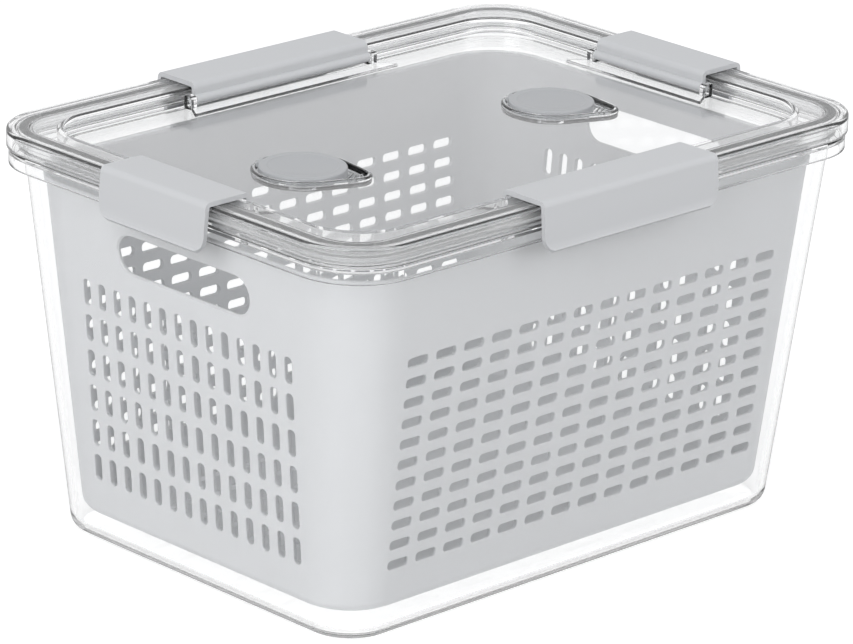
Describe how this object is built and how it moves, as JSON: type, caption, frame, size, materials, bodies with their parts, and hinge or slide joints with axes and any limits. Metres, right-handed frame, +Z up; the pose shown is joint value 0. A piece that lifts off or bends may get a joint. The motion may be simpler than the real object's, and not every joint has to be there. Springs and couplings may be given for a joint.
{
  "type": "food storage container",
  "caption": "Clear latching food keeper with a slotted grey strainer basket inside, a recessed clear lid, side latches and tilting vent caps.",
  "frame": {"origin": "centre of the underside of the bin's base, on the surface it stands on", "axes": "+X along the long side, +Y along the short side, +Z up"},
  "size_m": [0.3326, 0.2516, 0.1885],
  "materials": {
    "clear_plastic": "clear, polished",
    "basket_grey": "satin",
    "latch_grey": "satin",
    "soft_seal": "soft, translucent silicone"
  },
  "bodies": {
    "bin": {"outer_bin": "clear_plastic"},
    "basket": {"strainer_basket": "basket_grey"},
    "lid": {"lid": "clear_plastic", "lid_seal": "soft_seal"},
    "latch_front": {"latch_front": "latch_grey"},
    "latch_back": {"latch_back": "latch_grey"},
    "latch_left": {"latch_left": "latch_grey"},
    "latch_right": {"latch_right": "latch_grey"},
    "vent_left": {"vent_cap_left": "latch_grey", "vent_seal_left": "soft_seal"},
    "vent_right": {"vent_cap_right": "latch_grey", "vent_seal_right": "soft_seal"}
  },
  "joints": [
    {"name": "basket_lift", "type": "slide", "parent": "bin", "child": "basket", "axis": [0, 0, 1], "range_m": [0, 0.18]},
    {"name": "lid_lift", "type": "slide", "parent": "basket", "child": "lid", "axis": [0, 0, 1], "range_m": [0, 0.1]},
    {"name": "latch_right_hinge", "type": "hinge", "parent": "lid", "child": "latch_right", "pos_m": [0.138, 0, 0.181], "axis": [0, -1, 0], "range_deg": [0, 90]},
    {"name": "latch_left_hinge", "type": "hinge", "parent": "lid", "child": "latch_left", "pos_m": [-0.138, 0, 0.181], "axis": [0, 1, 0], "range_deg": [0, 90]},
    {"name": "latch_back_hinge", "type": "hinge", "parent": "lid", "child": "latch_back", "pos_m": [0, 0.0975, 0.181], "axis": [1, 0, 0], "range_deg": [0, 90]},
    {"name": "latch_front_hinge", "type": "hinge", "parent": "lid", "child": "latch_front", "pos_m": [0, -0.0975, 0.181], "axis": [-1, 0, 0], "range_deg": [0, 90]},
    {"name": "vent_left_hinge", "type": "hinge", "parent": "lid", "child": "vent_left", "pos_m": [-0.0862, 0.01767, 0.178], "axis": [-0.866, -0.5, 0], "range_deg": [0, 60]},
    {"name": "vent_right_hinge", "type": "hinge", "parent": "lid", "child": "vent_right", "pos_m": [0.0658, 0.01767, 0.178], "axis": [-0.866, -0.5, 0], "range_deg": [0, 60]}
  ]
}
